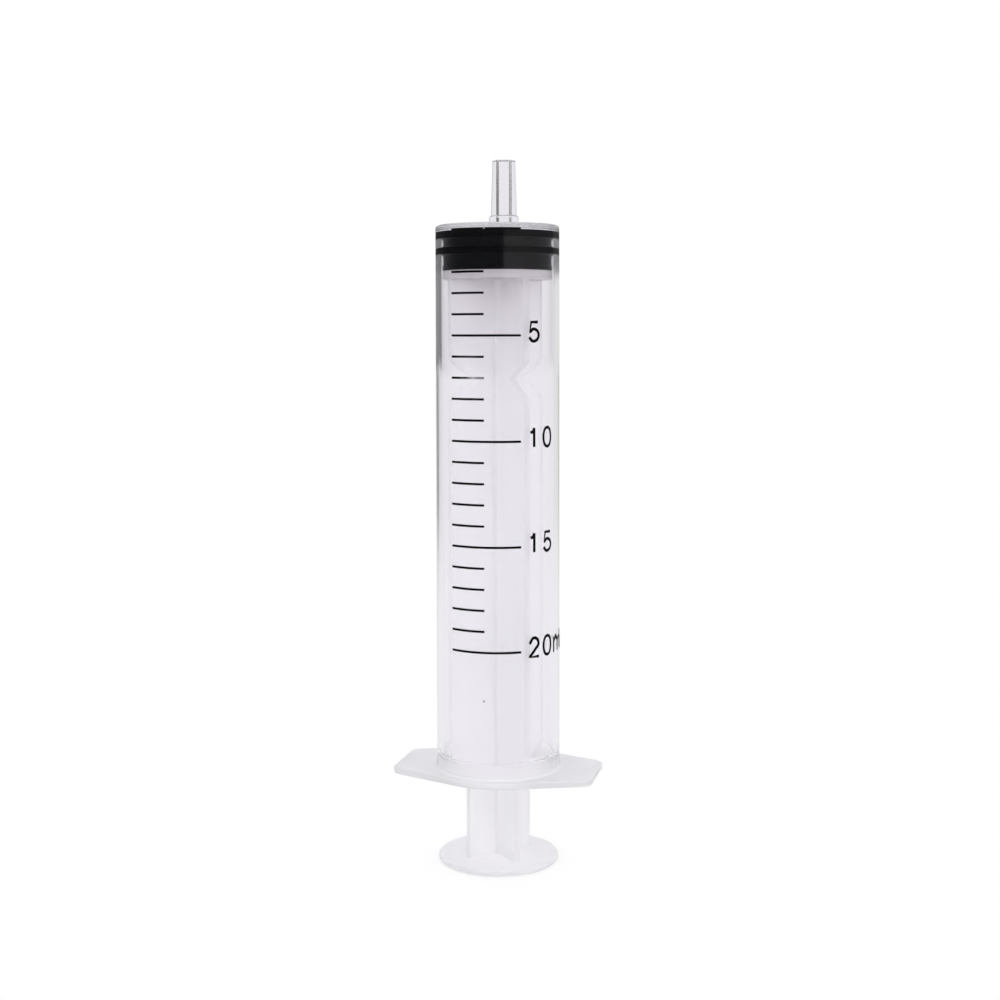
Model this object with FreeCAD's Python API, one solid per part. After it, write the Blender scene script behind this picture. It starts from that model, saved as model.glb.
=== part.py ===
"""Plastic syringe, 20 ml, slip tip, three pieces: barrel, plunger and stopper. Millimetres.

The part stands nozzle up on its thumb rest, with the plunger fully in. The origin is the
centre of the thumb rest's underside, +Z runs up the barrel's axis to the nozzle, the finger
flange's wings lie along X, and the printed side of the barrel faces -Y.
"""
import FreeCAD, Part

import math
import os

from FreeCAD import Vector

# barrel tube
bore_r = 9.55
barrel_wall = 0.95
bore_length = 92.3
end_wall = 1.1
barrel_edge_r = 0.5
bore_corner = 0.25
mouth_chamfer = 0.4

# bead inside the mouth that keeps the plunger in
bead_above_mouth = 3.4
bead_half_height = 0.6
bead_rise = 0.28

# nozzle, a 6 % taper, set off the barrel's axis on the side away from the scale
nozzle_offset = 4.75
nozzle_length = 9.6
nozzle_tip_r = 1.975
nozzle_taper = 0.06
nozzle_bore_r = 0.9
nozzle_edge = 0.2
collar_r = 2.6
collar_height = 1.95
collar_edge = 0.25

# finger flange
flange_length = 34.5
flange_rim = 1.3
flange_end_width = 12.0
flange_thickness = 1.1
flange_corner_r = 2.0
flange_edge = 0.2
flange_root = 0.5

# plunger rod, a cross of four ribs
rib_clearance = 0.25
rib_thickness = 1.2
rib_root_r = 0.7
rib_turn = 45.0
neck_r = 6.0
neck_above_mouth = 1.6
shoulder_height = 2.8
shoulder_bulge = 0.6
notch_below_end = 24.8
notch_height = 6.1
notch_root_r = 4.65
notch_bulge = 0.45

# disc behind the stopper, and the head that the stopper is pushed over
disc_clearance = 0.25
disc_thickness = 1.5
disc_edge = 0.2
head_neck_r = 3.0
head_neck_height = 1.4
head_r = 4.4
head_top_r = 2.8
head_height = 2.0

# thumb rest
thumb_rest_r = 10.2
thumb_rest_thickness = 0.9
thumb_rest_edge = 0.25
thumb_rest_gap = 14.15

# stopper, its ribs and grooves listed from the rear
stopper_gap = 0.1
stopper_seal_clearance = 0.05
stopper_rear_clearance = 0.25
stopper_groove_depth = 0.3
stopper_rear_rib = 0.6
stopper_rear_groove = 2.1
stopper_mid_rib = 1.1
stopper_front_groove = 1.55
stopper_front_rib = 1.1
stopper_rib_slope = 0.3
stopper_front_chamfer = 0.4
head_clearance = 0.05

# levels along the axis
mouth_z = thumb_rest_thickness + thumb_rest_gap
bore_end_z = mouth_z + bore_length
barrel_end_z = bore_end_z + end_wall
bead_z = mouth_z + bead_above_mouth
stopper_ribs = stopper_rear_rib + stopper_mid_rib + stopper_front_rib
stopper_length = stopper_ribs + stopper_rear_groove + stopper_front_groove
stopper_front_z = bore_end_z - stopper_gap
seat_z = stopper_front_z - stopper_length
disc_z = seat_z - disc_thickness

# radii that follow the bore
barrel_r = bore_r + barrel_wall
rib_r = bore_r - bead_rise - rib_clearance
disc_r = bore_r - disc_clearance

# how far a cutting tool reaches past the face that it cuts
overshoot = 1.0


def line(a, b):
    """Straight edge between two (radius, height) points."""
    return Part.LineSegment(Vector(a[0], 0, a[1]), Vector(b[0], 0, b[1])).toShape()


def arc(a, through, b):
    """Arc through three (radius, height) points."""
    points = [Vector(p[0], 0, p[1]) for p in (a, through, b)]
    return Part.Arc(*points).toShape()


def bulged(a, b, bulge):
    """Arc from a to b that stands off its chord by bulge, to the right of the way from a to b."""
    dx, dz = b[0] - a[0], b[1] - a[1]
    chord = math.hypot(dx, dz)
    through = ((a[0] + b[0]) / 2 + dz / chord * bulge, (a[1] + b[1]) / 2 - dx / chord * bulge)
    return arc(a, through, b)


def path(points):
    """Straight edges through a list of (radius, height) points."""
    return [line(a, b) for a, b in zip(points, points[1:])]


def turned(edges):
    """Solid turned about the Z axis from a closed outline of edges."""
    face = Part.Face(Part.Wire(edges))
    return face.revolve(Vector(0, 0, 0), Vector(0, 0, 1), 360)


def round_plate(radius, low_z, thickness, rim):
    """Round plate with both rims bevelled."""
    plate = Part.makeCylinder(radius, thickness, Vector(0, 0, low_z))
    rims = [edge for edge in plate.Edges if isinstance(edge.Curve, Part.Circle)]
    return plate.makeChamfer(rim, rims)


def flange_outline():
    """Flange seen from above: a round waist, straight sides that run to two cut ends."""
    half_length = flange_length / 2
    half_end = flange_end_width / 2
    waist_r = barrel_r + flange_rim
    reach = math.hypot(half_length, half_end)
    tangent_angle = math.atan2(half_end, half_length) + math.acos(waist_r / reach)
    touch_x = waist_r * math.cos(tangent_angle)
    touch_y = waist_r * math.sin(tangent_angle)
    edges = []
    for side in (1, -1):
        right = Vector(half_length * side, half_end * side, 0)
        left = Vector(-half_length * side, half_end * side, 0)
        start = Vector(touch_x * side, touch_y * side, 0)
        end = Vector(-touch_x * side, touch_y * side, 0)
        edges.append(Part.LineSegment(right, start).toShape())
        edges.append(Part.Arc(start, Vector(0, waist_r * side, 0), end).toShape())
        edges.append(Part.LineSegment(end, left).toShape())
        edges.append(Part.LineSegment(left, Vector(left.x, -left.y, 0)).toShape())
    return Part.Face(Part.Wire(edges))


def flange():
    """Two-winged plate at the barrel's mouth, with rounded corners and bevelled rims."""
    plate = flange_outline().extrude(Vector(0, 0, flange_thickness))
    reach = flange_length / 2 - flange_corner_r
    corners = [edge for edge in plate.Edges
               if abs(edge.tangentAt(edge.FirstParameter).z) > 0.9 and abs(edge.CenterOfMass.x) > reach]
    plate = plate.makeFillet(flange_corner_r, corners)
    rims = [edge for edge in plate.Edges if abs(edge.tangentAt(edge.FirstParameter).z) < 0.1]
    plate = plate.makeChamfer(flange_edge, rims)
    plate.translate(Vector(0, 0, mouth_z))
    return plate


def nozzle_r(below_tip):
    """Radius of the nozzle's taper at a distance below its tip."""
    return nozzle_tip_r + nozzle_taper / 2 * below_tip


def nozzle():
    """Tapered slip nozzle on its collar, solid, with its foot inside the end wall."""
    foot_z = barrel_end_z - end_wall / 2
    collar_z = barrel_end_z + collar_height
    tip_z = collar_z + nozzle_length
    outline = path([
        (0, foot_z),
        (collar_r, foot_z),
        (collar_r, collar_z - collar_edge),
        (collar_r - collar_edge, collar_z),
        (nozzle_r(nozzle_length), collar_z),
        (nozzle_r(nozzle_edge), tip_z - nozzle_edge),
        (nozzle_tip_r - nozzle_edge, tip_z),
        (0, tip_z),
        (0, foot_z),
    ])
    post = turned(outline)
    post.translate(Vector(0, nozzle_offset, 0))
    return post


def bore_space():
    """Inside of the barrel, as a solid to cut away: a bevelled mouth, and a waist that leaves the bead."""
    below_z = mouth_z - overshoot
    mouth_r = bore_r + mouth_chamfer
    outline = path([
        (0, below_z),
        (mouth_r, below_z),
        (mouth_r, mouth_z),
        (bore_r, mouth_z + mouth_chamfer),
        (bore_r, bead_z - bead_half_height),
        (bore_r - bead_rise, bead_z),
        (bore_r, bead_z + bead_half_height),
        (bore_r, bore_end_z - bore_corner),
        (bore_r - bore_corner, bore_end_z),
        (0, bore_end_z),
        (0, below_z),
    ])
    return turned(outline)


def barrel():
    """Clear tube with its end wall, off-centre nozzle and finger flange, as one moulding."""
    tube = Part.makeCylinder(barrel_r, barrel_end_z - mouth_z, Vector(0, 0, mouth_z))
    top = [edge for edge in tube.Edges
           if isinstance(edge.Curve, Part.Circle) and edge.CenterOfMass.z > mouth_z + overshoot]
    tube = tube.makeFillet(barrel_edge_r, top)
    body = tube.fuse(flange()).removeSplitter()
    root_z = mouth_z + flange_thickness
    root = [edge for edge in body.Edges
            if isinstance(edge.Curve, Part.Circle) and abs(edge.Curve.Radius - barrel_r) < 0.01
            and abs(edge.CenterOfMass.z - root_z) < 0.01]
    body = body.makeChamfer(flange_root, root)
    body = body.fuse(nozzle()).cut(bore_space())
    channel_length = end_wall + collar_height + nozzle_length + 2 * overshoot
    channel_foot = Vector(0, nozzle_offset, bore_end_z - overshoot)
    channel = Part.makeCylinder(nozzle_bore_r, channel_length, channel_foot)
    return body.cut(channel).removeSplitter()


def rod_cross():
    """Four ribs as a plain cross of two plates with rounded roots, from thumb rest to disc."""
    low_z = thumb_rest_thickness / 2
    height = disc_z + disc_thickness / 2 - low_z
    half = rib_thickness / 2
    reach = rib_r + overshoot
    plate = Part.makeBox(2 * reach, rib_thickness, height, Vector(-reach, -half, low_z))
    other = plate.copy()
    other.rotate(Vector(0, 0, 0), Vector(0, 0, 1), 90)
    cross = plate.fuse(other).removeSplitter()
    roots = [edge for edge in cross.Edges
             if abs(edge.tangentAt(edge.FirstParameter).z) > 0.9
             and math.hypot(edge.CenterOfMass.x, edge.CenterOfMass.y) < rib_thickness]
    return cross.makeFillet(rib_root_r, roots)


def rod_envelope():
    """Turned outline that the ribs are cut to: slim at the thumb rest, wide above the mouth,
    with a V notch below the stopper's end."""
    top_z = disc_z + disc_thickness
    neck_z = mouth_z + neck_above_mouth
    shoulder_z = neck_z + shoulder_height
    notch_z = bore_end_z - notch_below_end
    notch_low = (rib_r, notch_z - notch_height / 2)
    notch_root = (notch_root_r, notch_z)
    notch_high = (rib_r, notch_z + notch_height / 2)
    edges = path([(0, 0), (neck_r, 0), (neck_r, neck_z)])
    edges.append(bulged((neck_r, neck_z), (rib_r, shoulder_z), shoulder_bulge))
    edges.append(line((rib_r, shoulder_z), notch_low))
    edges.append(bulged(notch_low, notch_root, -notch_bulge))
    edges.append(bulged(notch_root, notch_high, -notch_bulge))
    edges += path([notch_high, (rib_r, top_z), (0, top_z), (0, 0)])
    return turned(edges)


def head(clearance):
    """Neck and barbed head on the disc, grown by a clearance all round when it cuts the stopper."""
    barb_z = seat_z + head_neck_height
    low_z = seat_z - disc_thickness / 2
    edges = path([
        (0, low_z),
        (head_neck_r + clearance, low_z),
        (head_neck_r + clearance, barb_z - clearance),
        (head_r + clearance, barb_z - clearance),
        (head_top_r + clearance, barb_z + head_height + clearance),
        (0, barb_z + head_height + clearance),
        (0, low_z),
    ])
    return turned(edges)


def plunger():
    """Ribbed rod with its thumb rest, the disc behind the stopper and the stopper's head."""
    rod = rod_cross().common(rod_envelope())
    rod.rotate(Vector(0, 0, 0), Vector(0, 0, 1), rib_turn)
    thumb_rest = round_plate(thumb_rest_r, 0, thumb_rest_thickness, thumb_rest_edge)
    disc = round_plate(disc_r, disc_z, disc_thickness, disc_edge)
    return rod.fuse([thumb_rest, disc, head(0)]).removeSplitter()


def stopper():
    """Rubber stopper: a slim rear rib, middle and front sealing ribs, and a flat front."""
    seal_r = bore_r - stopper_seal_clearance
    rear_r = bore_r - stopper_rear_clearance
    groove_r = seal_r - stopper_groove_depth
    rear_top = seat_z + stopper_rear_rib
    mid_low = rear_top + stopper_rear_groove
    mid_high = mid_low + stopper_mid_rib
    front_low = mid_high + stopper_front_groove
    outline = path([
        (0, seat_z),
        (rear_r, seat_z),
        (rear_r, rear_top),
        (groove_r, rear_top + stopper_rib_slope),
        (groove_r, mid_low - stopper_rib_slope),
        (seal_r, mid_low),
        (seal_r, mid_high),
        (groove_r, mid_high + stopper_rib_slope),
        (groove_r, front_low - stopper_rib_slope),
        (seal_r, front_low),
        (seal_r, stopper_front_z - stopper_front_chamfer),
        (seal_r - stopper_front_chamfer, stopper_front_z),
        (0, stopper_front_z),
        (0, seat_z),
    ])
    return turned(outline).cut(head(head_clearance))


def main():
    os.makedirs("parts", exist_ok=True)
    pieces = {"barrel": barrel(), "plunger": plunger(), "stopper": stopper()}
    for name, shape in pieces.items():
        solid = shape.Solids[0]
        solid.exportStep(f"parts/{name}.step")
        box = solid.BoundBox
        print(f"{name}: {len(shape.Solids)} solid, valid {solid.isValid()}, {solid.Volume:.1f} mm3, "
              f"z {box.ZMin:.2f} to {box.ZMax:.2f}")
    travel = disc_z - (bead_z + bead_half_height)
    print(f"disc to bead: {travel:.2f} mm, height: {pieces['barrel'].BoundBox.ZMax:.2f} mm")


main()
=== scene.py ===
"""Plastic syringe, 20 ml, standing nozzle up: the looks of its barrel, scale, plunger and stopper.

The meshes are worked in millimetres and brought to metres at the end. Angles round the barrel
are measured from -Y, positive towards +X.
"""
import math

import bmesh
import bpy
from mathutils import Matrix, Vector


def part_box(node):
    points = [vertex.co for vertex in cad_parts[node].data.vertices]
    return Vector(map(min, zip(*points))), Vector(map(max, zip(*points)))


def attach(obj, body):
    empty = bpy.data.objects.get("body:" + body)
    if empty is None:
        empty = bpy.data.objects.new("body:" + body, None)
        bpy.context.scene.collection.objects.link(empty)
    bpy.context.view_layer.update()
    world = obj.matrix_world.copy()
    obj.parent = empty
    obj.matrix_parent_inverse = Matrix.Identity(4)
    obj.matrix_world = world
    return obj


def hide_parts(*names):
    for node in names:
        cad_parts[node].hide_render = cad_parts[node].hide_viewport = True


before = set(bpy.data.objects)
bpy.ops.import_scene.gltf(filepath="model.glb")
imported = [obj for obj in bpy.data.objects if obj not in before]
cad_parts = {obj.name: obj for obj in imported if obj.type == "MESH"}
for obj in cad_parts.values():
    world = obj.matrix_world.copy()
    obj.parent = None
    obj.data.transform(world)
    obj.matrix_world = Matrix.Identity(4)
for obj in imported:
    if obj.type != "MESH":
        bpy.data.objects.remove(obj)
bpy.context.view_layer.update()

# a millimetre in metres
MM = 0.001


def corners(node):
    """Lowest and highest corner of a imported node, in millimetres."""
    return [[value / MM for value in corner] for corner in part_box(node)]


# levels and radii taken from the frame
(_, _, mouth_z), (flange_half_length, _, tip_z) = corners("barrel")
_, (thumb_rest_r, _, head_top_z) = corners("plunger")
(_, _, seat_z), _ = corners("stopper")

# barrel
bore_r = 9.55
barrel_r = 10.5
bore_end_z = 107.35
barrel_end_z = 108.45
barrel_edge_r = 0.5
bore_corner_r = 0.12
mouth_lead_in = 0.4
mouth_rounding = 0.15
bead_z = mouth_z + 3.4
bead_half_height = 0.6
bead_rise = 0.28
bead_rounding = 0.3
bead_foot_rounding = 0.25

# flange; the round foot that joins it to the barrel is sunk into it a little
flange_thickness = 1.1
flange_waist_r = barrel_r + 1.3
flange_end_width = 12.0
flange_corner_r = 2.0
flange_rim_r = 0.25
flange_root_r = 0.6
foot_r = barrel_r + flange_root_r + 0.3
foot_sink = 0.02
foot_z = mouth_z + flange_thickness + flange_root_r

# nozzle
nozzle_offset = 4.75
nozzle_tip_r = 1.975
nozzle_foot_r = 2.263
nozzle_bore_r = 0.9
nozzle_edge_r = 0.2
nozzle_root_r = 0.15
collar_r = 2.6
collar_height = 1.95
collar_edge_r = 0.3

# plunger
rib_r = 9.02
rib_thickness = 1.2
rib_root_r = 0.7
rib_edge_r = 0.2
rib_turn = math.radians(45)
neck_r = 6.0
neck_z = mouth_z + 1.6
neck_rounding = 0.5
shoulder_height = 2.8
shoulder_rounding = 1.7
notch_z = bore_end_z - 24.8
notch_height = 6.1
notch_root_r = 4.65
notch_root_rounding = 0.5
notch_shoulder_rounding = 1.6
disc_r = 9.3
disc_thickness = 1.5
disc_edge_r = 0.25
disc_low_z = seat_z - disc_thickness
disc_middle_z = seat_z - disc_thickness / 2
head_neck_r = 3.0
head_neck_height = 1.4
head_r = 4.4
head_top_r = 2.8
head_top_rounding = 0.2
barb_rounding = 0.15
thumb_rest_thickness = 0.9
thumb_rest_edge_r = 0.3

# stopper, its ribs and grooves listed from the rear; the front rib fills what is left
seal_press = 0.02
seal_r = bore_r + seal_press
stopper_rear_z = seat_z + 0.02
stopper_front_z = bore_end_z - 0.01
rear_r = 9.3
groove_r = 9.2
rear_rib = 0.6
rear_groove = 2.1
mid_rib = 1.1
front_groove = 1.55
rib_slope = 0.3
stopper_rounding = 0.12
head_clearance = 0.05

# printed scale
zero_z = bore_end_z + 0.02
ml_height = 3.49
scale_ml = 20
long_mark_every = 5
mark_height = 0.375
ink_low_r = barrel_r - 0.02
ink_high_r = barrel_r + 0.03
mark_start = math.radians(-32.3)
short_mark_end = math.radians(1.5)
long_mark_end = math.radians(35.3)
number_start = math.radians(42.1)
number_rise = 0.6
digit_height = 3.68
digit_width = 1.95
figure_gap = 1.1
stroke_width = 0.52

# how finely the bodies are divided, and how far cutting bodies stand out past what they cut
barrel_steps = 192
plunger_steps = 160
nozzle_steps = 96
waist_steps = 32
mark_steps = 24
corner_segments = 5
rim_segments = 3
sharp_angle = math.radians(32)
weld = 0.0005
cutter_reach = 1.0

# clear plastic: its roughness, what its dull places add to it, and how far these reach
clear_ior = 1.49
clear_roughness = 0.04
foot_roughness = 0.45
end_roughness = 0.2
nozzle_roughness = 0.08
foot_frost_height = 3.6
frost_blend = 0.4

# its tints: plain, painted shade round the stopper, in the end wall, in the specks, and in the cloudy
# flange
clear_tint = (0.995, 0.99, 0.997, 1)
# painted shade that the black stopper casts on the wall round it, where it stands at rest
painted_stopper_shade_tint = (0.89, 0.885, 0.9, 1)
end_wall_tint = (0.82, 0.815, 0.83, 1)
speck_tint = (0.02, 0.02, 0.03, 1)
flange_tints = (0.86, 0.86, 0.868, 1), (0.885, 0.885, 0.89, 1)
cloud_contrast = (0.3, 0.7)

# milky plastic: plain, then painted shade up the rod and in the disc below the stopper, the disc's edge
# blurred
milky_ior = 1.25
milk_tints = (0.905, 0.902, 0.908, 1), (0.922, 0.918, 0.925, 1)
painted_rod_shade_tint = (0.87, 0.83, 0.862, 1)
painted_rod_shade_strength = 0.42
painted_rod_shade_from = notch_z - 4
painted_rod_shade_to = seat_z + 3
painted_disc_shade_tint = (0.62, 0.58, 0.61, 1)
painted_disc_shade_strength = 0.5
disc_edge_wander = 1.4
disc_edge_blend = 0.4

# rubber and ink
rubber_tints = (0.001, 0.001, 0.002, 1), (0.004, 0.005, 0.007, 1)
ink_tints = (0.001, 0.001, 0.001, 1), (0.004, 0.004, 0.005, 1)

# what is left of shadow rays in clear plastic, and in thick or milky plastic
clear_shadow = (0.92, 0.918, 0.925, 1)
thick_shadow = (0.97, 0.965, 0.975, 1)

# what the rays of each kind meet in the studio
plain_white = (1, 1, 1, 1)
plain_light = (0.73, 0.73, 0.74, 1)
seen_through = (0.85, 0.84, 0.88, 1)
mirrored_bright = (0.86, 0.85, 0.89, 1)

# floor: bright in mirrors out to the first radius, and as the round for it says beyond the second
floor_size = 3000.0
floor_drop = 0.05
floor_paper = (0.8, 0.8, 0.8, 1)
floor_shadow = (0.86, 0.86, 0.87, 1)
shadow_reach = 12.0
floor_bright_r = 200.0
floor_round_r = 600.0

# what mirrored rays meet on the level, by degrees clockwise from straight behind the object:
# a dark flag behind it to the left, a white card behind it, a soft lamp at the camera's right hand
mirrored_round = [
    (-180, 0.05), (-75, 0.05), (-52, 0.14), (-36, 0.12), (1, 0.12), (6, 0.72), (44, 0.72),
    (50, 0.25), (60, 0.20), (85, 0.36), (110, 0.30), (166, 0.30), (171, 0.05), (180, 0.05),
]

# the same a little higher up, as the stopper shows it
mirrored_stopper_round = [
    (-180, 0.05), (-75, 0.05), (-52, 0.08), (1, 0.06), (6, 0.10), (30, 0.12), (44, 0.22),
    (60, 0.12), (85, 0.20), (110, 0.24), (135, 0.30), (166, 0.30), (171, 0.05), (180, 0.05),
]

# the same above that, as the nozzle shows it
mirrored_nozzle_round = [
    (-180, 0.30), (-75, 0.35), (-56, 0.45), (-40, 0.45), (-32, 0.38), (-9, 0.38), (-4, 0.85),
    (36, 0.85), (45, 0.50), (75, 0.40), (110, 0.30), (180, 0.20),
]

# the same for the far floor, where the flag's foot is narrower
mirrored_floor_round = [
    (-180, 0.60), (-60, 0.60), (-30, 0.80), (-22, 0.15), (1, 0.15), (6, 0.78), (36, 0.78),
    (60, 0.70), (180, 0.60),
]

# where each goes over into the next one up, as sines of the angle above the level
stopper_round_from = (0.034, 0.040)
nozzle_round_from = (0.062, 0.078)
bright_from = (0.12, 0.22)

# the camera stands a little to the right of the barrel's front, almost level with its middle
view_azimuth = math.radians(13.9)
camera_distance = 0.26187
camera_aside = 0.000392
camera_height = 0.09049
camera_pitch = math.radians(2.535)
camera_roll = math.radians(-0.114)
camera_lens = 55.356
camera_shift_y = -0.1

# its sensor is fitted by the height; the smaller width makes room in the views from other sides
sensor_height = 36.0
sensor_width = 30.0

# lamps
lamp_distance = 0.9
lamp_aim_height = 0.06


class Field:
    """A socket whose arithmetic adds Math nodes, so that shader maths reads as an expression."""

    def __init__(self, tree, socket):
        self.tree = tree
        self.socket = socket

    def math(self, operation, *others):
        """This value first, then the others, in one Math node."""
        terms = dict(enumerate((self,) + others))
        return add(self.tree, "ShaderNodeMath", {"operation": operation}, terms)

    def __add__(self, other):
        return self.math("ADD", other)

    def __sub__(self, other):
        return self.math("SUBTRACT", other)

    def __rsub__(self, other):
        return (self * -1).math("ADD", other)

    def __mul__(self, other):
        return self.math("MULTIPLY", other)

    def __truediv__(self, other):
        return self.math("DIVIDE", other)

    __radd__ = __add__
    __rmul__ = __mul__

    def most(self, other):
        """The greater of two."""
        return self.math("MAXIMUM", other)

    def ramp(self, low, high):
        """0 at low, 1 at high, smooth between them."""
        return add(self.tree, "ShaderNodeMapRange", {"interpolation_type": "SMOOTHSTEP"},
                   {"Value": self, "From Min": low, "From Max": high})


def add(tree, kind, settings=None, values=None, output=0):
    """New node of a type: its settings first, then the values or links of its sockets."""
    node = tree.nodes.new(kind)
    for name, value in (settings or {}).items():
        setattr(node, name, value)
    for name, value in (values or {}).items():
        if isinstance(value, Field):
            tree.links.new(value.socket, node.inputs[name])
        else:
            node.inputs[name].default_value = value
    return Field(tree, node.outputs[output])


def emptied_tree(owner):
    """Node tree of a material or world, with nothing in it."""
    owner.use_nodes = True
    owner.node_tree.nodes.clear()
    return owner.node_tree


def place(tree):
    """Object coordinates, in metres."""
    return add(tree, "ShaderNodeTexCoord", output="Object")


def stretched(tree, scale):
    """Object coordinates scaled along each axis."""
    return add(tree, "ShaderNodeMapping", None, {"Vector": place(tree), "Scale": scale})


def height_mm(tree):
    """Height above the thumb rest's underside, in millimetres."""
    return add(tree, "ShaderNodeSeparateXYZ", None, {0: place(tree)}, output="Z") / MM


def near(tree, centre, within, out_to):
    """1 within a distance of a point, falling to 0 at a greater one, all in millimetres."""
    offset = add(tree, "ShaderNodeVectorMath", {"operation": "DISTANCE"},
                 {0: place(tree), 1: [value * MM for value in centre]}, output="Value")
    return 1 - offset.ramp(within * MM, out_to * MM)


def noise(tree, vector, scale, detail=2.0):
    """Noise from 0 to 1, its scale in waves to the metre."""
    return add(tree, "ShaderNodeTexNoise", None, {"Vector": vector, "Scale": scale, "Detail": detail})


def mixed(tree, factor, low, high):
    """Colour between low and high."""
    node = tree.nodes.new("ShaderNodeMix")
    node.data_type = "RGBA"
    for socket, value in ((node.inputs[0], factor), (node.inputs[6], low), (node.inputs[7], high)):
        if isinstance(value, Field):
            tree.links.new(value.socket, socket)
        else:
            socket.default_value = value
    return Field(tree, node.outputs[2])


def bump(tree, relief, strength, depth):
    """Normal of a fine relief, its depth in millimetres."""
    return add(tree, "ShaderNodeBump", None,
               {"Height": relief, "Strength": strength, "Distance": depth * MM})


def met_by(tree, kind):
    """What Light Path says of a ray, such as 1 for Is Camera Ray, or its depth so far."""
    return add(tree, "ShaderNodeLightPath", output=kind)


def either(tree, factor, first, second):
    """First shader where the factor is 0, second where it is 1."""
    return add(tree, "ShaderNodeMixShader", None, {0: factor, 1: first, 2: second})


def lets_light_through(tree, surface, tint):
    """The surface for every ray but shadow rays, which pass it with a tint."""
    clear = add(tree, "ShaderNodeBsdfTransparent", None, {"Color": tint})
    return either(tree, met_by(tree, "Is Shadow Ray"), surface, clear)


def finish_material(tree, surface):
    """Link a surface to the material's output."""
    output = tree.nodes.new("ShaderNodeOutputMaterial")
    tree.links.new(surface.socket, output.inputs["Surface"])


def barrel_plastic():
    """Clear moulded plastic with faint draw lines and two specks in it, duller towards both ends."""
    material = bpy.data.materials.new("barrel_plastic")
    tree = emptied_tree(material)
    draw_lines = noise(tree, stretched(tree, (1.0, 1.0, 0.03)), scale=420.0)
    dark_speck = near(tree, (0.15, -10.5, 29.5), within=0.08, out_to=0.22)
    faint_speck = near(tree, (4.0, -9.7, 26.1), within=0.02, out_to=0.09)
    height = height_mm(tree)
    foot_frost = 1 - height.ramp(foot_z, foot_z + foot_frost_height)
    nozzle_frost = height.ramp(barrel_end_z, barrel_end_z + frost_blend)
    end_frost = height.ramp(bore_end_z, bore_end_z + frost_blend) * (1 - nozzle_frost)
    above_seat = height.ramp(seat_z - 0.2, seat_z + 0.5)
    below_end = 1 - height.ramp(bore_end_z, bore_end_z + 0.3)
    dulled = (foot_frost * foot_roughness).most(end_frost * end_roughness)
    dulled = dulled.most(nozzle_frost * nozzle_roughness)
    # painted shade: the wall is darkened round the black stopper's place at rest, and stays so when it
    # moves
    tint = mixed(tree, above_seat * below_end, clear_tint, painted_stopper_shade_tint)
    tint = mixed(tree, end_frost, tint, end_wall_tint)
    tint = mixed(tree, dark_speck.most(faint_speck), tint, speck_tint)
    glass = add(tree, "ShaderNodeBsdfPrincipled", None, {
        "Base Color": tint,
        "Roughness": dulled + clear_roughness,
        "IOR": clear_ior,
        "Transmission Weight": 1.0,
        "Normal": bump(tree, draw_lines, strength=0.25, depth=0.04),
    })
    finish_material(tree, lets_light_through(tree, glass, clear_shadow))
    return material


def flange_plastic():
    """The barrel's plastic at the flange, where it is thick: frosted, with a little milk in it."""
    material = bpy.data.materials.new("flange_plastic")
    tree = emptied_tree(material)
    cloud = noise(tree, place(tree), scale=220.0, detail=3.0)
    glass = add(tree, "ShaderNodeBsdfPrincipled", None, {
        "Base Color": mixed(tree, cloud.ramp(*cloud_contrast), *flange_tints),
        "Roughness": 0.4,
        "IOR": clear_ior,
        "Transmission Weight": 0.5,
        "Normal": bump(tree, cloud, strength=0.15, depth=0.05),
    })
    finish_material(tree, lets_light_through(tree, glass, thick_shadow))
    return material


def plunger_plastic():
    """Milky, translucent moulded plastic, with painted shade towards the stopper and in the disc behind
    it.
    """
    material = bpy.data.materials.new("plunger_plastic")
    tree = emptied_tree(material)
    cloud = noise(tree, stretched(tree, (1.0, 1.0, 0.25)), scale=160.0, detail=3.0)
    milk = mixed(tree, cloud.ramp(*cloud_contrast), *milk_tints)
    height = height_mm(tree)
    # painted shade: the rod darkens towards the black stopper, which keeps light from it
    milk = mixed(tree, height.ramp(painted_rod_shade_from, painted_rod_shade_to) * painted_rod_shade_strength, milk, painted_rod_shade_tint)
    # painted shade: the disc under the black stopper is darkened, its lower edge wandering
    wander = (noise(tree, stretched(tree, (1.0, 1.0, 0.3)), scale=330.0) - 0.5) * disc_edge_wander
    disc = (height + wander).ramp(disc_low_z - disc_edge_blend, disc_low_z + disc_edge_blend)
    milk = mixed(tree, disc * painted_disc_shade_strength, milk, painted_disc_shade_tint)
    glass = add(tree, "ShaderNodeBsdfPrincipled", None, {
        "Base Color": milk,
        "Roughness": 0.4,
        "IOR": milky_ior,
        "Transmission Weight": 0.6,
        "Normal": bump(tree, cloud, strength=0.05, depth=0.1),
    })
    finish_material(tree, lets_light_through(tree, glass, thick_shadow))
    return material


def stopper_rubber():
    """Black moulded rubber, slightly oiled, with a fine mottle."""
    material = bpy.data.materials.new("stopper_rubber")
    tree = emptied_tree(material)
    mottle = noise(tree, place(tree), scale=900.0, detail=4.0)
    rubber = add(tree, "ShaderNodeBsdfPrincipled", None, {
        "Base Color": mixed(tree, mottle, *rubber_tints),
        "Roughness": mottle * 0.12 + 0.3,
        "Specular IOR Level": 0.03,
        "Normal": bump(tree, mottle, strength=0.15, depth=0.04),
    })
    finish_material(tree, rubber)
    return material


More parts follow.
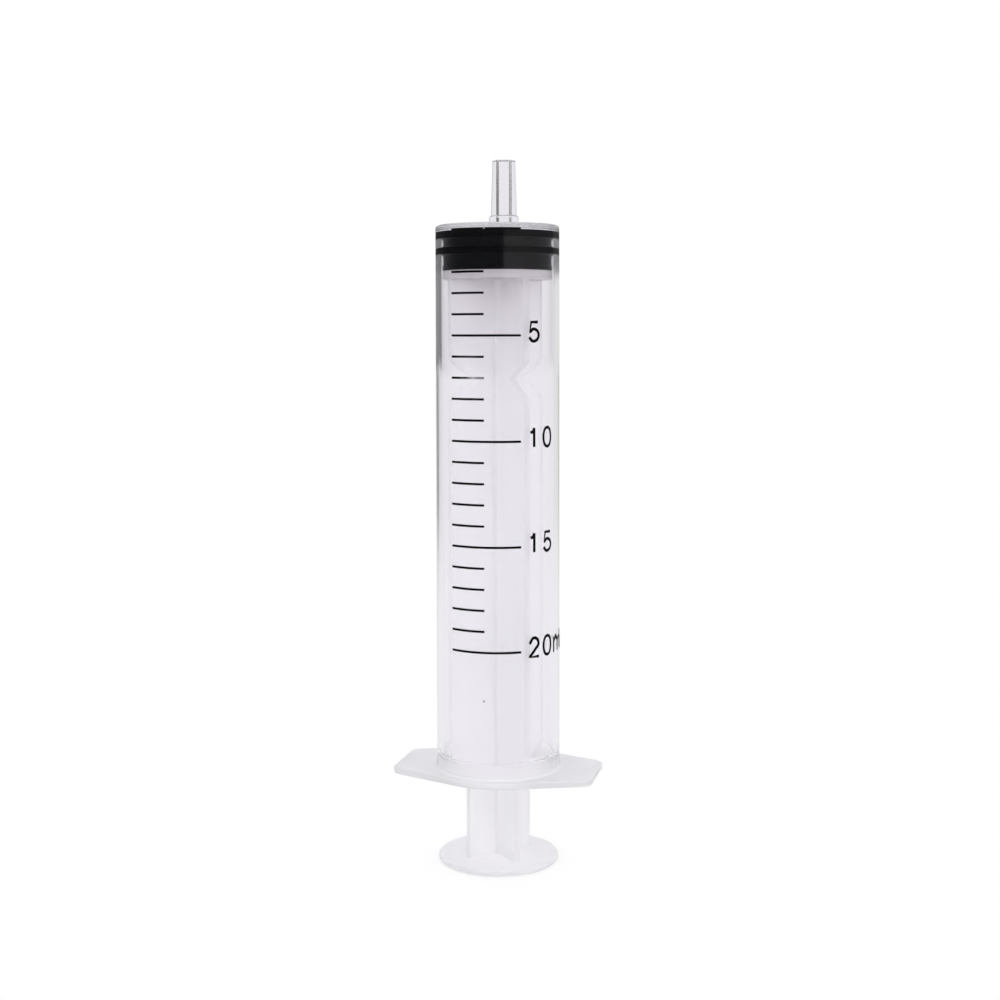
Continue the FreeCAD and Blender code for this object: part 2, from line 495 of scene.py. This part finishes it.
def scale_ink():
    """Black print, rubbed thin on a few marks, with a small dent in the zero mark."""
    material = bpy.data.materials.new("scale_ink")
    tree = emptied_tree(material)
    grain = noise(tree, place(tree), scale=2600.0, detail=3.0)
    rubbed = near(tree, (-1.0, -10.6, zero_z - 7.4 * ml_height), within=2.0, out_to=7.0)
    patches = noise(tree, stretched(tree, (1.0, 1.0, 2.0)), scale=260.0).ramp(0.42, 0.60)
    dent = near(tree, (0.31, -10.53, zero_z + 0.16), within=0.14, out_to=0.34)
    missing = (rubbed * patches * 0.75).most(dent * 0.6)
    ink = add(tree, "ShaderNodeBsdfPrincipled", None, {
        "Base Color": mixed(tree, grain, *ink_tints),
        "Roughness": grain * 0.2 + 0.45,
        "Specular IOR Level": 0.05,
        "Alpha": 1 - missing,
    })
    finish_material(tree, ink)
    return material


def wire(points):
    """Edges in the XZ plane through (radius, height) or (radius, height, rounding) corners."""
    bm = bmesh.new()
    verts = [bm.verts.new((point[0], 0, point[1])) for point in points]
    for pair in zip(verts, verts[1:]):
        bm.edges.new(pair)
    round_corners(bm, [(vert, point[2]) for vert, point in zip(verts, points) if len(point) > 2])
    return bm


def round_corners(bm, corner_sizes):
    """Round wire or face corners, each by the length it takes from its two sides."""
    for vert, size in corner_sizes:
        bmesh.ops.bevel(bm, geom=[vert], offset=size, offset_type="OFFSET", segments=corner_segments,
                        profile=0.5, affect="VERTICES", material=-1, clamp_overlap=False)


def turned(points, steps):
    """Closed body turned about Z from an outline that starts and ends on the axis."""
    bm = wire(points)
    bmesh.ops.spin(bm, geom=bm.verts[:] + bm.edges[:], cent=(0, 0, 0), axis=(0, 0, 1), dvec=(0, 0, 0),
                   angle=2 * math.pi, steps=steps, use_merge=True, use_duplicate=False)
    bmesh.ops.remove_doubles(bm, verts=bm.verts[:], dist=weld)
    bmesh.ops.recalc_face_normals(bm, faces=bm.faces[:])
    return bm


def moved(bm, offset):
    """The same bmesh, shifted."""
    bmesh.ops.translate(bm, vec=offset, verts=bm.verts[:])
    return bm


def raised(bm, height):
    """Solid drawn up from a flat face."""
    grown = bmesh.ops.extrude_face_region(bm, geom=bm.faces[:])
    lifted = [item for item in grown["geom"] if isinstance(item, bmesh.types.BMVert)]
    bmesh.ops.translate(bm, vec=(0, 0, height), verts=lifted)
    bmesh.ops.recalc_face_normals(bm, faces=bm.faces[:])
    return bm


def to_object(bm, name):
    """Object made of a bmesh, which is used up."""
    mesh = bpy.data.meshes.new(name)
    bm.to_mesh(mesh)
    bm.free()
    thing = bpy.data.objects.new(name, mesh)
    bpy.context.scene.collection.objects.link(thing)
    return thing


def final_mesh(thing):
    """New mesh of an object as its modifiers or its curve make it."""
    evaluated = thing.evaluated_get(bpy.context.evaluated_depsgraph_get())
    return bpy.data.meshes.new_from_object(evaluated)


def carve(base, operation, *tools):
    """Join the base with each tool, cut it by them or limit it to them. The tools are used up."""
    for tool in tools:
        modifier = base.modifiers.new(operation, "BOOLEAN")
        modifier.operation = operation
        modifier.solver = "EXACT"
        modifier.object = tool
        mesh = final_mesh(base)
        base.modifiers.clear()
        base.data = mesh
        bpy.data.objects.remove(tool)


def dress(piece, material, body, slot_name, *nodes):
    """Finish a piece: metres, smooth shading, material, and the body and nodes that it stands for."""
    bm = bmesh.new()
    bm.from_mesh(piece.data)
    bmesh.ops.remove_doubles(bm, verts=bm.verts[:], dist=weld)
    bmesh.ops.scale(bm, vec=(MM, MM, MM), verts=bm.verts[:])
    for face in bm.faces:
        face.smooth = True
    bm.to_mesh(piece.data)
    bm.free()
    piece.data.set_sharp_from_angle(angle=sharp_angle)
    piece.data.materials.clear()
    piece.data.materials.append(material)
    weighted = piece.modifiers.new("even shading", "WEIGHTED_NORMAL")
    weighted.keep_sharp = True
    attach(piece, body)
    if nodes:
        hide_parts(*nodes)


def flange_plate():
    """Flange with two cut ends, straight sides that run out from a round waist, and rounded rims."""
    half_end = flange_end_width / 2
    reach = math.hypot(flange_half_length, half_end)
    touch = math.atan2(half_end, flange_half_length) + math.acos(flange_waist_r / reach)
    waist_x = flange_waist_r * math.cos(touch)
    waist_y = flange_waist_r * math.sin(touch)
    bm = bmesh.new()
    ends = []
    waist_ends = []
    for side in (1, -1):
        low = bm.verts.new((side * flange_half_length, -side * half_end, mouth_z))
        high = bm.verts.new((side * flange_half_length, side * half_end, mouth_z))
        waist = bm.verts.new((side * waist_x, side * waist_y, mouth_z))
        arc = bmesh.ops.spin(bm, geom=[waist], cent=(0, 0, 0), axis=(0, 0, 1), dvec=(0, 0, 0),
                             angle=math.pi - 2 * touch, steps=waist_steps, use_merge=False,
                             use_duplicate=False)
        bm.edges.new((low, high))
        bm.edges.new((high, waist))
        ends += [low, high]
        waist_ends += arc["geom_last"]
    bm.edges.new((waist_ends[0], ends[2]))
    bm.edges.new((waist_ends[1], ends[0]))
    round_corners(bm, [(vert, flange_corner_r * math.tan(touch / 2)) for vert in ends])
    bmesh.ops.contextual_create(bm, geom=bm.edges[:])
    raised(bm, flange_thickness)
    rims = [edge for edge in bm.edges if abs(edge.verts[0].co.z - edge.verts[1].co.z) < weld]
    bmesh.ops.bevel(bm, geom=rims, offset=flange_rim_r, offset_type="OFFSET", segments=rim_segments,
                    profile=0.5, affect="EDGES", material=-1, clamp_overlap=False)
    return bm


def barrel_body():
    """Solid tube with a rounded top edge and a rounded root that runs out into the flange."""
    root_z = mouth_z + flange_thickness - foot_sink
    middle_z = mouth_z + flange_thickness / 2
    return turned([
        (0, barrel_end_z),
        (barrel_r, barrel_end_z, barrel_edge_r),
        (barrel_r, root_z, flange_root_r),
        (foot_r, root_z),
        (foot_r, middle_z),
        (0, middle_z),
    ], barrel_steps)


def nozzle_post():
    """Tapered nozzle on its collar, with its lower end inside the end wall."""
    inside_z = (barrel_end_z + bore_end_z) / 2
    collar_z = barrel_end_z + collar_height
    post = turned([
        (0, tip_z),
        (nozzle_tip_r, tip_z, nozzle_edge_r),
        (nozzle_foot_r, collar_z, nozzle_root_r),
        (collar_r, collar_z, collar_edge_r),
        (collar_r, inside_z),
        (0, inside_z),
    ], nozzle_steps)
    return moved(post, (0, nozzle_offset, 0))


def bore_space():
    """Space inside the barrel: a lead-in at the mouth, a waist that leaves the bead, a flat end."""
    below_z = mouth_z - cutter_reach
    mouth_r = bore_r + mouth_lead_in
    return turned([
        (0, bore_end_z),
        (bore_r, bore_end_z, bore_corner_r),
        (bore_r, bead_z + bead_half_height, bead_foot_rounding),
        (bore_r - bead_rise, bead_z, bead_rounding),
        (bore_r, bead_z - bead_half_height, bead_foot_rounding),
        (bore_r, mouth_z + mouth_lead_in, mouth_rounding),
        (mouth_r, mouth_z),
        (mouth_r, below_z),
        (0, below_z),
    ], barrel_steps)


def nozzle_channel():
    """Space of the channel that runs from the bore out of the nozzle's tip."""
    high_z = tip_z + cutter_reach
    low_z = bore_end_z - cutter_reach
    channel = turned([(0, high_z), (nozzle_bore_r, high_z), (nozzle_bore_r, low_z), (0, low_z)],
                     nozzle_steps // 2)
    return moved(channel, (0, nozzle_offset, 0))


def make_barrel():
    """Barrel with its flange and nozzle, frosted on the outside of the flange and its foot."""
    barrel = to_object(barrel_body(), "clear_barrel")
    carve(barrel, "UNION", to_object(flange_plate(), "flange"), to_object(nozzle_post(), "nozzle"))
    carve(barrel, "DIFFERENCE", to_object(bore_space(), "bore"), to_object(nozzle_channel(), "channel"))
    dress(barrel, barrel_plastic(), "barrel", "barrel_plastic", "barrel")
    barrel.data.materials.append(flange_plastic())
    verts = barrel.data.vertices
    past_wall_r = (barrel_r + 0.01) * MM
    for face in barrel.data.polygons:
        reach = max(verts[index].co.xy.length for index in face.vertices)
        face.material_index = int(face.center.z < foot_z * MM and reach > past_wall_r)


def rod_cross(low_z, high_z):
    """Four ribs with rounded roots and edges, drawn up as a cross."""
    bm = bmesh.new()
    half = rib_thickness / 2
    bmesh.ops.create_grid(bm, x_segments=1, y_segments=1, size=half)
    roots = bm.verts[:]
    tips = []
    for edge in bm.edges[:]:
        outward = (edge.verts[0].co + edge.verts[1].co).normalized()
        grown = bmesh.ops.extrude_edge_only(bm, edges=[edge])
        arm = [item for item in grown["geom"] if isinstance(item, bmesh.types.BMVert)]
        bmesh.ops.translate(bm, vec=outward * (rib_r - half), verts=arm)
        tips += arm
    bmesh.ops.dissolve_faces(bm, faces=bm.faces[:])
    round_corners(bm, [(vert, rib_root_r) for vert in roots] + [(vert, rib_edge_r) for vert in tips])
    moved(bm, (0, 0, low_z))
    bmesh.ops.rotate(bm, cent=(0, 0, 0), matrix=Matrix.Rotation(rib_turn, 3, "Z"), verts=bm.verts[:])
    return raised(bm, high_z - low_z)


def rod_envelope():
    """What the ribs are cut to: slim at the thumb rest, full above the mouth, with a V notch."""
    past_ribs = 0.4
    clear_r = rib_r + past_ribs
    slope = (rib_r - notch_root_r) / (notch_height / 2)
    notch_half_width = notch_height / 2 + past_ribs / slope
    high_z = seat_z + cutter_reach
    return turned([
        (0, high_z),
        (clear_r, high_z),
        (clear_r, notch_z + notch_half_width, notch_shoulder_rounding),
        (notch_root_r, notch_z, notch_root_rounding),
        (clear_r, notch_z - notch_half_width, notch_shoulder_rounding),
        (clear_r, neck_z + shoulder_height, shoulder_rounding),
        (neck_r, neck_z, neck_rounding),
        (neck_r, -cutter_reach),
        (0, -cutter_reach),
    ], plunger_steps)


def pad(radius, low_z, high_z, edge_r):
    """Round plate with rounded rims."""
    return turned([(0, high_z), (radius, high_z, edge_r), (radius, low_z, edge_r), (0, low_z)],
                  plunger_steps)


def plunger_head():
    """Neck and barbed head that the stopper is pushed over."""
    barb_z = seat_z + head_neck_height
    return turned([
        (0, head_top_z),
        (head_top_r, head_top_z, head_top_rounding),
        (head_r, barb_z, barb_rounding),
        (head_neck_r, barb_z, barb_rounding),
        (head_neck_r, disc_middle_z),
        (0, disc_middle_z),
    ], nozzle_steps)


def make_plunger():
    """Ribbed rod with its thumb rest, the disc behind the stopper and the head in it."""
    rod = to_object(rod_cross(thumb_rest_thickness / 2, disc_middle_z), "ribbed_plunger")
    carve(rod, "INTERSECT", to_object(rod_envelope(), "envelope"))
    thumb_rest = pad(thumb_rest_r, 0, thumb_rest_thickness, thumb_rest_edge_r)
    disc = pad(disc_r, disc_low_z, seat_z, disc_edge_r)
    carve(rod, "UNION", to_object(thumb_rest, "rest"), to_object(disc, "disc"),
          to_object(plunger_head(), "head"))
    dress(rod, plunger_plastic(), "plunger", "plunger_plastic", "plunger")


def make_stopper():
    """Rubber stopper with its ribs and grooves outside and the head's hollow inside."""
    barb_z = seat_z + head_neck_height - head_clearance
    hollow_z = head_top_z + head_clearance
    rear_top = seat_z + rear_rib
    mid_low = rear_top + rear_groove
    mid_high = mid_low + mid_rib
    front_low = mid_high + front_groove
    soft = stopper_rounding
    bm = turned([
        (0, hollow_z),
        (head_top_r + head_clearance, hollow_z),
        (head_r + head_clearance, barb_z),
        (head_neck_r + head_clearance, barb_z),
        (head_neck_r + head_clearance, stopper_rear_z),
        (rear_r, stopper_rear_z, soft),
        (rear_r, rear_top, soft),
        (groove_r, rear_top + rib_slope, soft),
        (groove_r, mid_low - rib_slope, soft),
        (seal_r, mid_low, soft),
        (seal_r, mid_high, soft),
        (groove_r, mid_high + rib_slope, soft),
        (groove_r, front_low - rib_slope, soft),
        (seal_r, front_low, soft),
        (seal_r, stopper_front_z, soft),
        (0, stopper_front_z),
    ], barrel_steps)
    dress(to_object(bm, "rubber_stopper"), stopper_rubber(), "plunger", "stopper_rubber", "stopper")


def make_marks(ink):
    """The scale's 21 marks, every fifth one long, as thin bars on the barrel."""
    bm = bmesh.new()
    for ml in range(scale_ml + 1):
        end = short_mark_end if ml % long_mark_every else long_mark_end
        low_z = zero_z - ml * ml_height - mark_height / 2
        high_z = low_z + mark_height
        section = [(ink_low_r, low_z), (ink_high_r, low_z), (ink_high_r, high_z), (ink_low_r, high_z)]
        verts = [bm.verts.new((0, -radius, height)) for radius, height in section]
        bmesh.ops.rotate(bm, cent=(0, 0, 0), matrix=Matrix.Rotation(mark_start, 3, "Z"), verts=verts)
        face = bm.faces.new(verts)
        bmesh.ops.spin(bm, geom=[face] + face.verts[:] + face.edges[:], cent=(0, 0, 0), axis=(0, 0, 1),
                       dvec=(0, 0, 0), angle=end - mark_start, steps=mark_steps, use_merge=False,
                       use_duplicate=False)
    bmesh.ops.recalc_face_normals(bm, faces=bm.faces[:])
    dress(to_object(bm, "scale_marks"), ink, "barrel", "scale_ink")


# strokes of the figures and letters in a box one unit wide and high: S is a sharp point, R a round one
FIGURES = {
    "0": [("ring", [(0.5, 1, "R"), (0, 0.5, "R"), (0.5, 0, "R"), (1, 0.5, "R")])],
    "1": [("open", [(0.12, 0.76, "S"), (0.36, 0.81, "R"), (0.5, 1, "S")]),
          ("open", [(0.5, 1, "S"), (0.5, 0, "S")])],
    "2": [("open", [(0.02, 0.70, "R"), (0.48, 1, "R"), (0.95, 0.72, "R"), (0.55, 0.36, "R"),
                    (0.02, 0, "S"), (1, 0, "S")])],
    "5": [("open", [(0.9, 1, "S"), (0.2, 1, "S"), (0.08, 0.48, "S"), (0.5, 0.64, "R"),
                    (1, 0.32, "R"), (0.46, 0, "R"), (0, 0.2, "R")])],
    "m": [("open", [(0, 0.76, "S"), (0, 0, "S")]),
          ("open", [(0, 0.56, "S"), (0.26, 0.76, "R"), (0.5, 0.54, "S"), (0.5, 0, "S")]),
          ("open", [(0.5, 0.56, "S"), (0.76, 0.76, "R"), (1, 0.54, "S"), (1, 0, "S")])],
    "l": [("open", [(0, 1, "S"), (0, 0, "S")])],
}

# widths in millimetres of those that aren't as wide as a digit
FIGURE_WIDTHS = {"m": 3.4, "l": 0.3}


def stroke_mesh(kind, points, width, height):
    """Mesh of one pen stroke, lying flat, as a round bar."""
    curve = bpy.data.curves.new("stroke", "CURVE")
    curve.dimensions = "3D"
    curve.bevel_depth = stroke_width / 2
    curve.bevel_resolution = 2
    curve.resolution_u = 10
    curve.use_fill_caps = True
    spline = curve.splines.new("BEZIER")
    spline.bezier_points.add(len(points) - 1)
    spline.use_cyclic_u = kind == "ring"
    for knot, (x, y, corner) in zip(spline.bezier_points, points):
        knot.co = (x * width, y * height, 0)
        knot.handle_left_type = "AUTO" if corner == "R" else "VECTOR"
        knot.handle_right_type = knot.handle_left_type
    holder = bpy.data.objects.new("stroke", curve)
    bpy.context.scene.collection.objects.link(holder)
    mesh = final_mesh(holder)
    bpy.data.objects.remove(holder)
    return mesh


def wrapped(vert, start, low_z):
    """A flat figure's point, laid round the barrel."""
    angle = start + vert.co.x / barrel_r
    mid_r = (ink_low_r + ink_high_r) / 2
    radius = mid_r + vert.co.z * (ink_high_r - ink_low_r) / stroke_width
    return (radius * math.sin(angle), -radius * math.cos(angle), low_z + vert.co.y)


def make_numbers(ink):
    """Plain numbers beside the long marks, the last one with its unit."""
    bm = bmesh.new()
    height = digit_height - stroke_width
    for ml in range(long_mark_every, scale_ml + 1, long_mark_every):
        low_z = zero_z - ml * ml_height + number_rise - height / 2
        start = number_start + stroke_width / 2 / barrel_r
        for figure in f"{ml}ml" if ml == scale_ml else str(ml):
            width = FIGURE_WIDTHS.get(figure, digit_width)
            for kind, points in FIGURES[figure]:
                first = len(bm.verts)
                bm.from_mesh(stroke_mesh(kind, points, width, height))
                bm.verts.ensure_lookup_table()
                for vert in bm.verts[first:]:
                    vert.co = wrapped(vert, start, low_z)
            start += (width + figure_gap) / barrel_r
    bmesh.ops.recalc_face_normals(bm, faces=bm.faces[:])
    dress(to_object(bm, "scale_numbers"), ink, "barrel", "scale_ink")


def viewer_axes():
    """Right and forward directions of the camera on the level."""
    right = Vector((math.cos(view_azimuth), math.sin(view_azimuth), 0))
    forward = Vector((-math.sin(view_azimuth), math.cos(view_azimuth), 0))
    return right, forward


def in_view(tree, vector):
    """How far a vector goes along the viewer's right, away from where the viewer stands, and up."""
    right, forward = viewer_axes()
    return [add(tree, "ShaderNodeVectorMath", {"operation": "DOT_PRODUCT"}, {0: vector, 1: tuple(axis)},
                output="Value") for axis in (right, forward, Vector((0, 0, 1)))]


def mirrored(tree, times):
    """1 for rays that were reflected at least so often, on or inside the first wall that they meet.

    A ray into that wall and out of it has a transmission depth of 2. Depths are whole numbers, so
    each limit lies half a step off them.
    """
    reflected = met_by(tree, "Glossy Depth").math("GREATER_THAN", times - 0.5)
    return reflected * met_by(tree, "Transmission Depth").math("LESS_THAN", 2.5)


def round_about(tree, across, along, stops):
    """Brightness given by degrees clockwise from straight behind the object."""
    turn = across.math("ARCTAN2", along) / (2 * math.pi) + 0.5
    level = add(tree, "ShaderNodeValToRGB", None, {0: turn})
    elements = level.socket.node.color_ramp.elements
    for degrees, _ in stops[1:-1]:
        elements.new(degrees / 360 + 0.5)
    for element, (_, brightness) in zip(elements, stops):
        element.color = (brightness, brightness, brightness, 1)
    return level


def make_floor():
    """Wide pale floor. The camera sees the white below it, dimmed by the object's soft shadow."""
    bm = bmesh.new()
    bmesh.ops.create_grid(bm, x_segments=1, y_segments=1, size=floor_size)
    bmesh.ops.scale(bm, vec=(MM, MM, MM), verts=bm.verts[:])
    floor = to_object(moved(bm, (0, 0, -floor_drop * MM)), "floor")
    material = bpy.data.materials.new("floor")
    tree = emptied_tree(material)
    paper = add(tree, "ShaderNodeBsdfDiffuse", None, {"Color": floor_paper})
    openness = add(tree, "ShaderNodeAmbientOcclusion", {"samples": 8}, {"Distance": shadow_reach * MM},
                   output="AO")
    seen = add(tree, "ShaderNodeBsdfTransparent", None,
               {"Color": mixed(tree, 1 - openness, plain_white, floor_shadow)})
    across, along, _ = in_view(tree, place(tree))
    far = round_about(tree, across, along, mirrored_floor_round)
    mirror_image = mixed(tree, near(tree, (0, 0, 0), floor_bright_r, floor_round_r), far, mirrored_bright)
    backdrop = add(tree, "ShaderNodeEmission", None,
                   {"Color": mixed(tree, mirrored(tree, 1), seen_through, mirror_image)})
    surface = either(tree, met_by(tree, "Is Camera Ray"), paper, seen)
    surface = either(tree, met_by(tree, "Is Transmission Ray"), surface, backdrop)
    finish_material(tree, surface)
    floor.data.materials.append(material)


def make_world():
    """White behind the object and through its plastic, plain as a light, and a studio in reflections."""
    world = bpy.data.worlds.new("studio")
    bpy.context.scene.world = world
    tree = emptied_tree(world)
    across, along, up = in_view(tree, add(tree, "ShaderNodeTexCoord", output="Generated"))
    level = mixed(tree, up.ramp(*stopper_round_from), round_about(tree, across, along, mirrored_round),
                  round_about(tree, across, along, mirrored_stopper_round))
    level = mixed(tree, up.ramp(*nozzle_round_from), level,
                  round_about(tree, across, along, mirrored_nozzle_round))
    room = mixed(tree, up.ramp(*bright_from).most(mirrored(tree, 2)), level, mirrored_bright)
    colour = mixed(tree, met_by(tree, "Is Glossy Ray"), plain_light, room)
    behind = mixed(tree, mirrored(tree, 1), seen_through, room)
    colour = mixed(tree, met_by(tree, "Is Transmission Ray"), colour, behind)
    colour = mixed(tree, met_by(tree, "Is Camera Ray"), colour, plain_white)
    sky = add(tree, "ShaderNodeBackground", None, {"Color": colour, "Strength": 1.0})
    output = tree.nodes.new("ShaderNodeOutputWorld")
    tree.links.new(sky.socket, output.inputs["Surface"])


def make_camera():
    """Camera that stands, turns and zooms as the one that took the photograph."""
    data = bpy.data.cameras.new("camera")
    data.sensor_fit = "VERTICAL"
    data.sensor_height = sensor_height
    data.sensor_width = sensor_width
    data.lens = camera_lens
    data.shift_y = camera_shift_y
    data.clip_start = 0.01
    data.clip_end = 20.0
    camera = bpy.data.objects.new("camera", data)
    bpy.context.scene.collection.objects.link(camera)
    bpy.context.scene.camera = camera
    level_right, level_forward = viewer_axes()
    forward = math.cos(camera_pitch) * level_forward - math.sin(camera_pitch) * Vector((0, 0, 1))
    up = math.sin(camera_pitch) * level_forward + math.cos(camera_pitch) * Vector((0, 0, 1))
    right = math.cos(camera_roll) * level_right + math.sin(camera_roll) * up
    up = math.cos(camera_roll) * up - math.sin(camera_roll) * level_right
    turn = Matrix((right, up, -forward)).transposed().to_4x4()
    spot = camera_aside * level_right - camera_distance * level_forward + Vector((0, 0, camera_height))
    camera.matrix_world = Matrix.Translation(spot) @ turn


def make_lamp(name, azimuth, elevation, width, height, radiance):
    """Soft rectangular lamp aimed at the barrel's middle, its angle measured from the camera's side."""
    right, forward = viewer_axes()
    level = math.sin(azimuth) * right - math.cos(azimuth) * forward
    away = math.cos(elevation) * level + math.sin(elevation) * Vector((0, 0, 1))
    data = bpy.data.lights.new(name, "AREA")
    data.shape = "RECTANGLE"
    data.size = width
    data.size_y = height
    data.energy = radiance * math.pi * width * height
    lamp = bpy.data.objects.new(name, data)
    bpy.context.scene.collection.objects.link(lamp)
    turn = away.to_track_quat("Z", "Y").to_matrix().to_4x4()
    spot = Vector((0, 0, lamp_aim_height)) + away * lamp_distance
    lamp.matrix_world = Matrix.Translation(spot) @ turn
    lamp.visible_camera = False
    lamp.visible_glossy = False
    lamp.visible_transmission = False


def make_lamps():
    """Two large softboxes, which aren't seen in the plastic."""
    make_lamp("right_softbox", azimuth=math.radians(40), elevation=math.radians(12),
              width=0.9, height=1.1, radiance=0.85)
    make_lamp("overhead_softbox", azimuth=math.radians(-20), elevation=math.radians(62),
              width=1.0, height=1.0, radiance=0.95)


def set_up_rendering():
    """Plain colours, and bounces enough for light to pass every wall of the clear plastic."""
    scene = bpy.context.scene
    scene.view_settings.view_transform = "Standard"
    scene.cycles.blur_glossy = 0.0
    scene.cycles.max_bounces = 48
    scene.cycles.diffuse_bounces = 24
    scene.cycles.transmission_bounces = 48
    scene.cycles.glossy_bounces = 48
    scene.cycles.transparent_max_bounces = 48


make_camera()
make_world()
make_lamps()
make_floor()
make_barrel()
make_plunger()
make_stopper()
ink = scale_ink()
make_marks(ink)
make_numbers(ink)
set_up_rendering()
